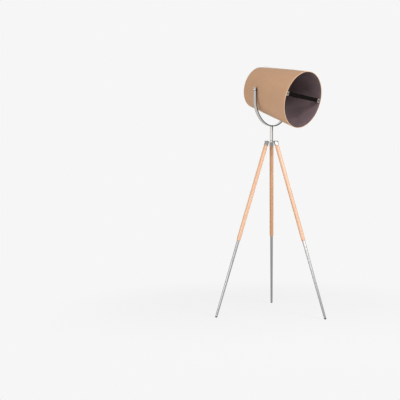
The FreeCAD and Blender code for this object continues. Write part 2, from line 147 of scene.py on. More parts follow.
class Graph:
    """Builds the nodes of one material or of the world."""

    def __init__(self, name: str, world: Optional[bpy.types.World] = None) -> None:
        """Start an empty material, or the given world's nodes, with the output node."""
        self.material = world or bpy.data.materials.new(name)
        self.material.use_nodes = True
        self.tree = self.material.node_tree
        self.tree.nodes.clear()
        self.output = self.tree.nodes.new("ShaderNodeOutputWorld" if world else "ShaderNodeOutputMaterial")

    def node(
        self,
        kind: str,
        settings: Optional[dict[str, Any]] = None,
        inputs: Optional[dict[Any, Any]] = None,
    ) -> bpy.types.Node:
        """Add one node.

        Args:
            kind: the node's type.
            settings: its own settings by name.
            inputs: values or links by socket name or number.

        Returns:
            The new node.
        """
        node = self.tree.nodes.new(kind)
        for key, value in (settings or {}).items():
            setattr(node, key, value)
        for key, value in (inputs or {}).items():
            source = value.socket if isinstance(value, Value) else value
            if isinstance(source, bpy.types.NodeSocket):
                self.tree.links.new(source, node.inputs[key])
            else:
                node.inputs[key].default_value = source
        return node

    def math(self, operation: str, first: Number, second: Number) -> Value:
        """Add a Math node on two numbers."""
        node = self.node("ShaderNodeMath", {"operation": operation}, {0: first, 1: second})
        return Value(self, node.outputs[0])

    def local(self) -> bpy.types.NodeSocket:
        """The piece's own coordinates, in metres, kept on its points."""
        return self.node("ShaderNodeAttribute", {"attribute_name": "local"}).outputs["Vector"]

    def place(self) -> bpy.types.NodeSocket:
        """The object's coordinates, in metres."""
        return self.node("ShaderNodeTexCoord").outputs["Object"]

    def stretched(self, coordinates: bpy.types.NodeSocket, scale: Triple) -> bpy.types.NodeSocket:
        """Coordinates multiplied axis by axis."""
        node = self.node("ShaderNodeVectorMath", {"operation": "MULTIPLY"}, {0: coordinates, 1: scale})
        return node.outputs[0]

    def noise(
        self,
        coordinates: bpy.types.NodeSocket,
        scale: float,
        detail: float = 2.0,
        roughness: float = 0.5,
        distortion: float = 0.0,
    ) -> Value:
        """Fractal noise between 0 and 1, with scale in cells a metre."""
        node = self.node(
            "ShaderNodeTexNoise",
            None,
            {
                "Vector": coordinates,
                "Scale": scale,
                "Detail": detail,
                "Roughness": roughness,
                "Distortion": distortion,
            },
        )
        return Value(self, node.outputs[0])

    def step(self, value: Value, low: float, high: float) -> Value:
        """A soft step that rises from 0 at low to 1 at high."""
        node = self.node(
            "ShaderNodeMapRange",
            {"interpolation_type": "SMOOTHSTEP"},
            {"Value": value, "From Min": low, "From Max": high},
        )
        return Value(self, node.outputs[0])

    def mix(self, share: Number, first: Any, second: Any) -> bpy.types.NodeSocket:
        """Blend two colours, share 0 giving the first and 1 the second."""
        node = self.node("ShaderNodeMix", {"data_type": "RGBA"}, {0: share, 6: first, 7: second})
        return node.outputs[2]

    def bump(self, height: Value, distance: float, strength: float = 1.0) -> bpy.types.NodeSocket:
        """Surface relief of a height between 0 and 1 times a distance in metres."""
        node = self.node(
            "ShaderNodeBump", None, {"Height": height, "Distance": distance, "Strength": strength}
        )
        return node.outputs[0]

    def seen(self) -> Value:
        """1 on rays from the camera, a mirror or glass, and 0 on all others."""
        path = self.node("ShaderNodeLightPath").outputs
        direct = self.math("MAXIMUM", Value(self, path["Is Camera Ray"]), Value(self, path["Is Glossy Ray"]))
        return self.math("MAXIMUM", direct, Value(self, path["Is Transmission Ray"]))

    def blend(self, share: Number, first: bpy.types.Node, second: bpy.types.Node) -> None:
        """Show two shaders blended, share 0 giving the first and 1 the second."""
        mix = self.node("ShaderNodeMixShader", None, {0: share, 1: first.outputs[0], 2: second.outputs[0]})
        self.tree.links.new(mix.outputs[0], self.output.inputs[0])

    def close(self, **sockets: Any) -> bpy.types.Material:
        """Add the surface shader with its sockets, and finish the material."""
        shader = self.node(
            "ShaderNodeBsdfPrincipled", None, {key.replace("_", " "): value for key, value in sockets.items()}
        )
        self.tree.links.new(shader.outputs[0], self.output.inputs[0])
        return self.material


# ------------------------------------------------------------------ finishes
@dataclass(frozen=True)
class KraftLaminate:
    """Tan card laminate with fine paler and darker fibres."""

    base: tuple[float, ...] = srgb(193, 152, 119)
    pale: tuple[float, ...] = srgb(214, 178, 143)
    dark: tuple[float, ...] = srgb(150, 113, 84)
    fleck: float = 420.0
    fibre: Triple = (500.0, 500.0, 120.0)

    def build(self) -> bpy.types.Material:
        """Make the material."""
        graph = Graph("kraft laminate")
        local = graph.local()
        cloud = graph.noise(local, 9.0, 3.0)
        pale = graph.step(graph.noise(local, self.fleck, 3.0, 0.6), 0.54, 0.70)
        dark = graph.step(graph.noise(graph.stretched(local, self.fibre), 1.0, 2.0, 0.6), 0.56, 0.72)
        grain = graph.noise(local, 1500.0, 2.0)
        base = graph.mix(cloud * 0.35, self.base, self.dark)
        base = graph.mix(pale * 0.42, base, self.pale)
        base = graph.mix(dark * 0.38, base, self.dark)
        relief = pale * 0.5 + grain * 0.5
        return graph.close(
            Base_Color=base,
            Roughness=0.62 + 0.16 * grain,
            Normal=graph.bump(relief, 0.00012, 0.6),
        )


@dataclass(frozen=True)
class LaminateEdge:
    """Pale cut edge of the laminate, with its layers just showing."""

    base: tuple[float, ...] = srgb(222, 188, 152)
    layer: tuple[float, ...] = srgb(190, 152, 116)

    def build(self) -> bpy.types.Material:
        """Make the material."""
        graph = Graph("laminate edge")
        local = graph.local()
        fibres = graph.noise(local, 900.0, 3.0, 0.6)
        base = graph.mix(graph.step(fibres, 0.45, 0.7), self.base, self.layer)
        return graph.close(Base_Color=base, Roughness=0.7, Normal=graph.bump(fibres, 0.0002, 0.5))


@dataclass(frozen=True)
class DarkLining:
    """Dark brown lining paper with a dull sheen."""

    base: tuple[float, ...] = srgb(112, 94, 97)
    deep: tuple[float, ...] = srgb(92, 76, 79)

    def build(self) -> bpy.types.Material:
        """Make the material."""
        graph = Graph("dark lining")
        local = graph.local()
        cloud = graph.noise(local, 14.0, 4.0, 0.6)
        weave = graph.noise(local, 1300.0, 2.0, 0.6)
        base = graph.mix(graph.step(cloud, 0.35, 0.7) * 0.5 + weave * 0.25, self.base, self.deep)
        return graph.close(
            Base_Color=base,
            Roughness=0.5 + 0.2 * weave,
            Normal=graph.bump(weave, 0.0001, 0.5),
        )


@dataclass(frozen=True)
class PlatedMetal:
    """Bright plated or brushed metal with faint wiping marks."""

    name: str
    base: tuple[float, ...]
    roughness: float
    marks: float = 0.05
    hazed_share: float = 0.86
    wiping_cells: Triple = (900.0, 900.0, 60.0)

    def build(self) -> bpy.types.Material:
        """Make the material."""
        graph = Graph(self.name)
        place = graph.place()
        haze = graph.noise(place, 35.0, 4.0, 0.6)
        wiping = graph.noise(graph.stretched(place, self.wiping_cells), 1.0, 2.0)
        hazed = tuple(self.hazed_share * level for level in self.base[:3]) + (1.0,)
        tint = graph.mix(graph.step(haze, 0.4, 0.75) * 0.3, self.base, hazed)
        return graph.close(
            Base_Color=tint,
            Metallic=1.0,
            Roughness=self.roughness + self.marks * haze + 0.4 * self.marks * wiping,
        )


@dataclass(frozen=True)
class LacqueredWood:
    """Pale straight-grained wood under a satin lacquer."""

    name: str
    light: tuple[float, ...] = srgb(215, 173, 143)
    deep: tuple[float, ...] = srgb(198, 145, 104)
    pore: tuple[float, ...] = srgb(176, 120, 80)
    band_cells: Triple = (90.0, 90.0, 2.6)
    streak_cells: Triple = (420.0, 420.0, 9.0)
    pore_cells: Triple = (1500.0, 1500.0, 70.0)

    def build(self) -> bpy.types.Material:
        """Make the material."""
        graph = Graph(self.name)
        local = graph.local()
        bands = graph.noise(graph.stretched(local, self.band_cells), 1.0, 5.0, 0.6, 0.8)
        streaks = graph.noise(graph.stretched(local, self.streak_cells), 1.0, 3.0, 0.6)
        pores = graph.step(graph.noise(graph.stretched(local, self.pore_cells), 1.0, 2.0), 0.62, 0.74)
        base = graph.mix(graph.step(bands, 0.35, 0.75) * 0.75, self.light, self.deep)
        base = graph.mix(graph.step(streaks, 0.5, 0.8) * 0.35, base, self.deep)
        base = graph.mix(pores * 0.4, base, self.pore)
        return graph.close(
            Base_Color=base,
            Roughness=0.34 + 0.14 * streaks,
            Coat_Weight=0.25,
            Coat_Roughness=0.2,
            Normal=graph.bump(streaks - pores, 0.00008, 0.5),
        )


@dataclass(frozen=True)
class Coating:
    """Paint, plastic or rubber in one colour, with a fine skin texture and slight wear."""

    name: str
    base: tuple[float, ...]
    worn: tuple[float, ...]
    roughness: float
    texture: float = 1400.0
    relief: float = 0.00006
    shine: float = 0.5

    def build(self) -> bpy.types.Material:
        """Make the material."""
        graph = Graph(self.name)
        place = graph.place()
        skin = graph.noise(place, self.texture, 2.0, 0.5)
        cloud = graph.noise(place, 30.0, 4.0, 0.6)
        base = graph.mix(graph.step(cloud, 0.5, 0.8) * 0.4 + skin * 0.15, self.base, self.worn)
        return graph.close(
            Base_Color=base,
            Roughness=self.roughness - 0.06 + 0.12 * skin,
            Specular_IOR_Level=self.shine,
            Normal=graph.bump(skin, self.relief, 0.6),
        )


@dataclass(frozen=True)
class ChromePaintedDarkEdges:
    """Polished chrome on a flat bar's broad faces, with a painted dark reflection on its narrow edges.

    The edges are coloured near black in place of the dark surroundings that they would mirror;
    the share of black is a soft step of the distance from the bar's middle plane, y = 0.
    """

    base: tuple[float, ...] = srgb(196, 193, 190)
    edge: tuple[float, ...] = srgb(13, 11, 11)
    dark_reflection_start: float = 0.0086
    dark_reflection_full: float = 0.0094

    def build(self) -> bpy.types.Material:
        """Make the material."""
        graph = Graph("chrome with painted dark edges")
        local = graph.local()
        across = Value(graph, graph.node("ShaderNodeSeparateXYZ", None, {0: local}).outputs[1])
        # black is the share of painted dark reflection, near black on the narrow edges
        black = graph.step(graph.math("ABSOLUTE", across, 0.0), self.dark_reflection_start, self.dark_reflection_full)
        haze = graph.noise(local, 35.0, 4.0, 0.6)
        return graph.close(
            Base_Color=graph.mix(black, self.base, self.edge),
            Metallic=1.0 - black * 0.7,
            Roughness=0.06 + 0.05 * haze + 0.2 * black,
        )


class Finishes:
    """Every material of the lamp, made once."""

    def __init__(self) -> None:
        """Build the materials."""
        self.edge = LaminateEdge().build()
        self.lining = DarkLining().build()
        self.chrome_painted_dark_edges = ChromePaintedDarkEdges().build()
        # A darker copy of the pale wood: painted shade for the rear leg, which gets less light.
        self.wood_painted_shade = LacqueredWood(
            "wood with painted shade", srgb(203, 154, 114), srgb(176, 124, 82), srgb(146, 98, 62)).build()
        self.by_slot = {
            Slot.LAMINATE: KraftLaminate().build(),
            Slot.CHROME: PlatedMetal("polished chrome", srgb(162, 159, 156), 0.07).build(),
            Slot.LEG_STEEL: PlatedMetal("leg steel", srgb(158, 157, 156), 0.36).build(),
            Slot.ZINC: PlatedMetal("zinc plate", srgb(196, 196, 194), 0.32, 0.12).build(),
            Slot.CONTACT_BRASS: PlatedMetal("contact brass", srgb(214, 178, 104), 0.28, 0.12).build(),
            Slot.WOOD: LacqueredWood("pale wood").build(),
            Slot.BLACK_PAINT: Coating(
                "black paint", srgb(12, 8, 7), srgb(20, 15, 13), 0.68, shine=0.04).build(),
            Slot.PALE_PAINT: Coating("pale paint", srgb(140, 132, 124), srgb(118, 110, 102), 0.5).build(),
            Slot.PALE_PLASTIC: Coating(
                "pale plastic", srgb(206, 196, 186), srgb(188, 177, 166), 0.5).build(),
            Slot.BLACK_PLASTIC: Coating("black plastic", srgb(30, 29, 29), srgb(48, 46, 44), 0.45).build(),
            Slot.TIP_RUBBER: Coating("tip rubber", srgb(46, 41, 38), srgb(66, 60, 55), 0.75, 900.0).build(),
        }

    def of_slot(self, slot: Slot) -> bpy.types.Material:
        """The material that this slot of the record shows."""
        return self.by_slot[slot]


# ------------------------------------------------------------------ places and surfaces
@dataclass(frozen=True)
class Place:
    """A frame of its own inside the lamp's: a turn and then a shift, in millimetres."""

    turn: np.ndarray
    shift: np.ndarray

    def carry(self, points: np.ndarray) -> np.ndarray:
        """Points of this frame in the lamp's frame."""
        return points @ self.turn.T + self.shift

    def bring(self, points: np.ndarray) -> np.ndarray:
        """Points of the lamp's frame in this frame."""
        return (points - self.shift) @ self.turn

    def after(self, turn: np.ndarray, shift: Sequence[float]) -> "Place":
        """A frame that lies turned and shifted inside this one."""
        return Place(self.turn @ turn, self.carry(np.asarray(shift, float)))


def turn_about(axis: str, degrees: float) -> np.ndarray:
    """Rotation matrix about one axis: cosines on its plane's diagonal, sines beside it."""
    cosine, sine = math.cos(math.radians(degrees)), math.sin(math.radians(degrees))
    first, second = {"x": (1, 2), "y": (2, 0), "z": (0, 1)}[axis]
    matrix = np.eye(3)
    matrix[first, first] = matrix[second, second] = cosine
    matrix[first, second], matrix[second, first] = -sine, sine
    return matrix


HOME = Place(np.eye(3), np.zeros(3))


def rounded(corners: Sequence[tuple[float, float, float]], steps: int = 5, loop: bool = True) -> np.ndarray:
    """Polygon with rounded corners.

    Each corner's arc starts and ends where its two sides are radius / tan(half angle) from
    the corner, and its points turn evenly between the two tangent directions.

    Args:
        corners: (first, second, radius) of each corner, in order round the polygon.
        steps: spans in each arc.
        loop: whether the last corner joins the first; if not, both ends stay sharp.

    Returns:
        Array of points, shape (n, 2).
    """
    places = np.array([corner[:2] for corner in corners], float)
    count = len(corners)
    runs = []
    for index, (first, second, radius) in enumerate(corners):
        if radius <= 0 or (not loop and index in (0, count - 1)):
            runs.append(places[index:index + 1])
            continue
        before = places[index - 1] - places[index]
        after = places[(index + 1) % count] - places[index]
        before, after = before / np.linalg.norm(before), after / np.linalg.norm(after)
        half = math.acos(np.clip(before @ after, -1.0, 1.0)) / 2
        middle = (before + after) / np.linalg.norm(before + after)
        centre = places[index] + middle * radius / math.sin(half)
        start = places[index] + before * radius / math.tan(half) - centre
        sweep = (math.pi - 2 * half) * np.sign(before[1] * after[0] - before[0] * after[1])
        turns = np.linspace(0.0, sweep, steps + 1)
        arc = np.stack([
            start[0] * np.cos(turns) - start[1] * np.sin(turns),
            start[0] * np.sin(turns) + start[1] * np.cos(turns),
        ], axis=1)
        runs.append(arc + centre)
    return np.concatenate(runs)


def rod(low: Triple, high: Triple) -> np.ndarray:
    """Profile of a solid rod from the (radius, height, rounding) of its two ends."""
    return rounded([(0.0, low[1], 0.0), low, high, (0.0, high[1], 0.0)])


def lathe(profile: np.ndarray, segments: int) -> np.ndarray:
    """Surface of revolution about Z: (r cos t, r sin t, z) for each profile point and turn t.

    Args:
        profile: (radius, height) points, shape (n, 2).
        segments: steps round the axis.

    Returns:
        Grid of points, shape (segments, n, 3).
    """
    turns = np.linspace(0.0, 2 * np.pi, segments, endpoint=False)[:, None]
    radius, height = profile[:, 0][None], profile[:, 1][None]
    return np.stack([radius * np.cos(turns), radius * np.sin(turns), height + 0 * turns], axis=2)


def slab(outline: np.ndarray, bottom: float, top: float, bevel: float, steps: int = 3) -> np.ndarray:
    """Plate of one outline with rounded edges.

    Each ring is the outline moved inwards along its normals by bevel (1 - cos t) at height
    bottom + bevel (1 - sin t), and the mirror of that at the top; the faces close on the middle.

    Args:
        outline: (x, y) points round the plate, counter-clockwise, shape (n, 2).
        bottom, top: heights of the two faces.
        bevel: radius of the edges.
        steps: spans in each rounding.

    Returns:
        Grid of points, shape (rings, n, 3).
    """
    tangent = np.roll(outline, -1, axis=0) - np.roll(outline, 1, axis=0)
    tangent = tangent / np.linalg.norm(tangent, axis=1, keepdims=True)
    outward = np.stack([tangent[:, 1], -tangent[:, 0]], axis=1)
    turns = np.linspace(0.0, np.pi / 2, steps + 1)
    inset = bevel * (1 - np.sin(turns))
    drop = bevel * (1 - np.cos(turns))
    insets = np.concatenate([inset, inset[::-1]])
    heights = np.concatenate([bottom + drop, top - drop[::-1]])
    rings = outline[None] - outward[None] * insets[:, None, None]
    rings = np.concatenate([rings, np.broadcast_to(heights[:, None, None], rings.shape[:2] + (1,))], axis=2)
    middle = outline.mean(axis=0)
    ends = [np.broadcast_to(np.append(middle, height), (1,) + rings.shape[1:]) for height in (bottom, top)]
    return np.concatenate([ends[0], rings, ends[1]])


def regular(corner_radius: float, sides: int, rounding: float) -> np.ndarray:
    """Regular polygon outline with rounded corners, counter-clockwise."""
    turns = 2 * np.pi * np.arange(sides) / sides
    corners = [(corner_radius * math.cos(turn), corner_radius * math.sin(turn), rounding) for turn in turns]
    return rounded(corners, 3)


def rectangle(x_range: tuple[float, float], y_range: tuple[float, float], rounding: float) -> np.ndarray:
    """Rectangular outline with rounded corners, counter-clockwise."""
    (left, right), (low, high) = x_range, y_range
    return rounded([
        (left, low, rounding), (right, low, rounding), (right, high, rounding), (left, high, rounding),
    ], 4)


def stacked(unit: np.ndarray, rings: Sequence[tuple[np.ndarray, float]]) -> np.ndarray:
    """Rings round Z: directions times each ring's distances from the axis, at its height."""
    return np.stack([
        np.concatenate([unit * reach[:, None], np.full((len(unit), 1), height)], axis=1)
        for reach, height in rings
    ])


def sweep(path: np.ndarray, across: np.ndarray, beside: np.ndarray, section: np.ndarray) -> np.ndarray:
    """Section carried along a path: path + across * first + beside * second.

    Args:
        path: points, shape (n, 3).
        across, beside: the section's two directions at each point, shape (n, 3).
        section: (first, second) points, shape (m, 2) or (n, m, 2).

    Returns:
        Grid of points, shape (n, m, 3).
    """
    section = np.broadcast_to(section, (len(path),) + section.shape[-2:])
    return (
        path[:, None]
        + across[:, None] * section[..., :1]
        + beside[:, None] * section[..., 1:]
    )


def skin(name: str, grid: np.ndarray, close: Close, place: Place = HOME) -> bpy.types.Object:
    """Make a closed mesh from a grid of points.

    Neighbouring points of rows and columns make four-sided faces; rows run round or get caps.

    Args:
        name: the piece's name.
        grid: points in millimetres, shape (rows, columns, 3).
        close: how the grid is closed.
        place: frame that the points are in.

    Returns:
        The object, with its own coordinates kept in the attribute "local".
    """
    rows, columns = grid.shape[:2]
    index = np.arange(rows * columns).reshape(rows, columns)
    following = np.roll(index, -1, axis=1)
    if close is Close.RING_BOTH:
        lower, upper = index, np.roll(index, -1, axis=0)
        lower_next, upper_next = following, np.roll(following, -1, axis=0)
    else:
        lower, upper = index[:-1], index[1:]
        lower_next, upper_next = following[:-1], following[1:]
    faces = np.stack([lower, lower_next, upper_next, upper], axis=2).reshape(-1, 4).tolist()
    if close is Close.CAPPED:
        faces += [index[0, ::-1].tolist(), index[-1].tolist()]
    points = place.carry(grid.reshape(-1, 3)) * MILLIMETRE
    mesh = bpy.data.meshes.new(name)
    mesh.from_pydata(points.tolist(), [], faces)
    tidy = bmesh.new()
    tidy.from_mesh(mesh)
    bmesh.ops.remove_doubles(tidy, verts=tidy.verts, dist=1e-6)
    bmesh.ops.dissolve_degenerate(tidy, edges=tidy.edges, dist=1e-7)
    bmesh.ops.recalc_face_normals(tidy, faces=tidy.faces)
    tidy.to_mesh(mesh)
    tidy.free()
    keep_local(mesh, place)
    mesh.shade_smooth()
    mesh.set_sharp_from_angle(angle=math.radians(38))
    piece = bpy.data.objects.new(name, mesh)
    bpy.context.scene.collection.objects.link(piece)
    return piece


def keep_local(mesh: bpy.types.Mesh, place: Place) -> None:
    """Keep each point's coordinates in its own frame, in metres, as the attribute "local"."""
    points = np.empty(len(mesh.vertices) * 3)
    mesh.vertices.foreach_get("co", points)
    own = place.bring(points.reshape(-1, 3) / MILLIMETRE) * MILLIMETRE
    layer = mesh.attributes.new("local", "FLOAT_VECTOR", "POINT")
    layer.data.foreach_set("vector", own.ravel())


@dataclass(frozen=True)
class Assembly:
    """A sub-assembly of the lamp, whose pieces all ride on one body."""

    finishes: Finishes
    body: ClassVar[Body] = Body.SHADE

    def add(
        self,
        name: str,
        grid: np.ndarray,
        slot: Slot,
        nodes: Sequence[str] = (),
        place: Place = HOME,
        close: Close = Close.RING_BOTH,
        material: Optional[bpy.types.Material] = None,
    ) -> None:
        """Make a piece, dress it and tell the frame what it rides on and stands for.

        Args:
            name: the piece's name.
            grid: points in millimetres, shape (rows, columns, 3).
            slot: record slot of its finish.
            nodes: frame nodes that it stands for.
            place: frame that the points are in.
            close: how the grid is closed.
            material: what it shows, if not the slot's own finish.
        """
        piece = skin(name, grid, close, place)
        piece.data.materials.append(material or self.finishes.of_slot(slot))
        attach(piece, self.body.value)
        if nodes:
            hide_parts(*nodes)
        LOG.info("%s rides on %s, %d points", piece.name, self.body.value, len(piece.data.vertices))


# ------------------------------------------------------------------ stand
@dataclass(frozen=True)
class Stand(Assembly):
    """Tripod: hub with three sockets, wooden upper legs, steel lower legs, tips and stem."""

    body: ClassVar[Body] = Body.STAND
    leg_count: int = 3
    leg_azimuth: float = 9.0
    foot_radius: float = 371.5
    hub_height: float = 1050.0
    plate_thickness: float = 3.5
    plate_overhang: float = 0.6
    socket_circle: float = 30.6
    socket_radius: float = 13.3
    socket_bore: float = 12.1
    socket_length: float = 25.2
    socket_head: float = 10.0
    wood_radius: float = 12.0
    wood_end_radius: float = 9.6
    wood_taper: float = 9.0
    steel_length: float = 476.0
    steel_top_radius: float = 8.75
    steel_foot_radius: float = 6.75
    foot_reach: float = 7.0
    stem_radius: float = 9.5
    stem_length: float = 87.0
    # The leg that gets the darker wood, as painted shade on the rear leg.
    shaded_leg: str = "2"

    @property
    def underside(self) -> float:
        """Height of the hub plate's underside."""
        return self.hub_height - self.plate_thickness

    @property
    def lean(self) -> float:
        """Lean of a leg from upright, in degrees."""
        return math.degrees(math.atan2(self.foot_radius - self.socket_circle, self.underside))

    @property
    def run(self) -> float:
        """Length of a leg's axis from the floor to the hub plate."""
        return math.hypot(self.foot_radius - self.socket_circle, self.underside)

    def leg_place(self, index: int) -> Place:
        """Frame of a leg: +Z up its axis from the floor."""
        turn = turn_about("z", self.leg_azimuth + 360.0 * index / self.leg_count)
        foot = turn @ np.array([0.0, -self.foot_radius, 0.0])
        return Place(turn @ turn_about("x", -self.lean), foot)

    def build(self) -> None:
        """Make and dress every piece of the stand."""
        self.build_plate()
        self.build_stem()
        for index in range(self.leg_count):
            place = self.leg_place(index)
            number = str(index + 1)
            self.build_socket(number, place)
            self.build_wood(number, place)
            self.build_steel(number, place)
            self.build_tip(number, place)

    def build_plate(self) -> None:
        """Round hub plate with a softened rim."""
        cup = self.socket_radius / math.cos(math.radians(self.lean))
        radius = self.socket_circle + cup + self.plate_overhang
        profile = rod((radius, self.underside, 0.5), (radius, self.hub_height, 1.2))
        self.add("hub_plate", lathe(profile, 128), Slot.CHROME, ["hub"])

    def build_socket(self, number: str, place: Place) -> None:
        """Leaning cup with a rolled lip, its top cut level under the plate.

        Points of the outer wall that would stand above the plate's underside slide down the
        leg's axis to that level.
        """
        mouth = self.run - self.socket_length
        above = self.run + self.socket_radius
        lip, outer, bore = self.socket_radius + 0.25, self.socket_radius, self.socket_bore
        profile = rounded([
            (bore, mouth, 0.25),
            (lip, mouth, 0.6),
            (lip, mouth + 2.4, 0.5),
            (outer, mouth + 2.8, 0.3),
            (outer, above, 0.0),
            (0.0, above, 0.0),
            (0.0, above - 1.0, 0.0),
            (bore, above - 1.0, 0.0),
        ])
        grid = place.carry(lathe(profile, 72))
        axis = place.turn[:, 2]
        excess = np.clip(grid[..., 2] - self.underside, 0.0, None)
        grid = grid - axis * (excess / axis[2])[..., None]
        self.add("leg_socket_" + number, grid, Slot.CHROME)

    def build_wood(self, number: str, place: Place) -> None:
        """Round wooden rod with a rounded-off lower end."""
        bottom, top = self.steel_length, self.run - self.socket_head
        profile = rounded([
            (0.0, bottom, 0.0),
            (self.wood_end_radius, bottom, 1.2),
            (self.wood_radius, bottom + self.wood_taper, 16.0),
            (self.wood_radius, top, 0.8),
            (0.0, top, 0.0),
        ], 8)
        # The rear leg's darker wood is painted shade for the leg standing farthest back from the lamps.
        painted_shade_timber = self.finishes.wood_painted_shade if number == self.shaded_leg else None
        self.add(
            "wooden_leg_" + number, lathe(profile, 64), Slot.WOOD, ["upper_leg_" + number],
            place=place, material=painted_shade_timber)

    def build_steel(self, number: str, place: Place) -> None:
        """Tapered steel leg with softened ends."""
        profile = rod(
            (self.steel_foot_radius, self.foot_reach, 0.4), (self.steel_top_radius, self.steel_length, 0.6))
        self.add(
            "steel_leg_" + number, lathe(profile, 64), Slot.LEG_STEEL, ["lower_leg_" + number],
            place=place)

    def build_tip(self, number: str, place: Place) -> None:
        """Rounded rubber tip, pressed flat on the floor.

        The ball end is (r sin t, c - r cos t); points under the floor are lifted onto it.
        """
        radius = self.steel_foot_radius
        centre = self.foot_reach - 1.0
        turns = np.linspace(0.0, np.pi / 2, 14)
        ball = np.stack([radius * np.sin(turns), centre - radius * np.cos(turns)], axis=1)
        collar = np.array([[radius, self.foot_reach], [0.0, self.foot_reach]])
        grid = place.carry(lathe(np.concatenate([ball, collar]), 48))
        grid[..., 2] = np.clip(grid[..., 2], 0.0, None)
        nodes = ["foot_tips"] if number == "1" else []
        self.add("rubber_tip_" + number, grid, Slot.TIP_RUBBER, nodes)

    def build_stem(self) -> None:
        """Stem tube with softened ends, standing on the hub plate."""
        top = self.hub_height + self.stem_length
        profile = rod((self.stem_radius, self.hub_height, 0.5), (self.stem_radius, top, 0.5))
        self.add("stem_tube", lathe(profile, 96), Slot.CHROME, ["stem"])


# ------------------------------------------------------------------ yoke
@dataclass(frozen=True)
class Yoke(Assembly):
    """U of flat bar that carries the shade."""

    body: ClassVar[Body] = Body.YOKE
    pivot_height: float
    arm_inner: float = 150.42
    thickness: float = 6.0
    width: float = 20.0
    straight: float = 56.0
    above_pivot: float = 13.5
    corner: float = 4.0
    bevel: float = 0.7

    def build(self) -> None:
        """Carry the bar's section up one arm, round the bow and up the other.

        The path is a straight, a half circle and a straight. Within one corner radius of
        each end the width shrinks as corner - sqrt(corner^2 - t^2), which rounds the ends.
        """
        middle = self.arm_inner + self.thickness / 2
        centre = self.pivot_height - self.straight
        top = self.pivot_height + self.above_pivot
        near_end = top - self.corner * (1 - np.cos(np.linspace(0.02, np.pi / 2, 8)))
        heights = np.concatenate([near_end, np.linspace(near_end[-1], centre, 8)[1:-1]])
        turns = np.linspace(0.0, np.pi, 97)
        bow = np.stack([-middle * np.cos(turns), 0 * turns, centre - middle * np.sin(turns)], axis=1)
        left = np.stack([0 * heights - middle, 0 * heights, heights], axis=1)
        right = left[::-1] * np.array([-1.0, 1.0, 1.0])
        path = np.concatenate([left, bow, right])
        spread = np.concatenate([
            np.tile([-1.0, 0.0, 0.0], (len(left), 1)),
            np.stack([-np.cos(turns), 0 * turns, -np.sin(turns)], axis=1),
            np.tile([1.0, 0.0, 0.0], (len(right), 1)),
        ])
        beside = np.tile([0.0, 1.0, 0.0], (len(path), 1))
        past = np.clip(path[:, 2] - (top - self.corner), 0.0, self.corner)
        narrowing = self.corner - np.sqrt(self.corner ** 2 - past ** 2)
        half = self.width / 2
        section = rectangle((-self.thickness / 2, self.thickness / 2), (-half, half), self.bevel)
        share = (half - narrowing) / half
        sections = section[None] * np.stack([np.ones_like(share), share], axis=1)[:, None]
        # The material paints a dark reflection onto the bar's narrow edges.
        self.add(
            "yoke_bar", sweep(path, spread, beside, sections), Slot.CHROME, ["yoke"],
            close=Close.CAPPED, material=self.finishes.chrome_painted_dark_edges)


# ------------------------------------------------------------------ shade
@dataclass(frozen=True)
class ShadeForm:
    """Sizes of the shade and its frame: +Z forward along it, +Y up, origin on the tilt axis."""

    pivot_height: float
    rest_tilt: float = 15.0
    front_radius: float = 168.8
    rear_radius: float = 125.0
    front: float = 249.0
    rear: float = -113.6
    wall: float = 4.0
    lining: float = 1.0

    @property
    def place(self) -> Place:
        """Frame of the shade."""
        return Place(turn_about("x", 90.0 + self.rest_tilt), np.array([0.0, 0.0, self.pivot_height]))

    def outside(self, s: Any) -> Any:
        """Outer radius at a distance s along the shade."""
        slope = (self.front_radius - self.rear_radius) / (self.front - self.rear)
        return self.rear_radius + slope * (s - self.rear)

    def inside(self, s: Any) -> Any:
        """Inner radius at a distance s along the shade."""
        return self.outside(s) - self.wall


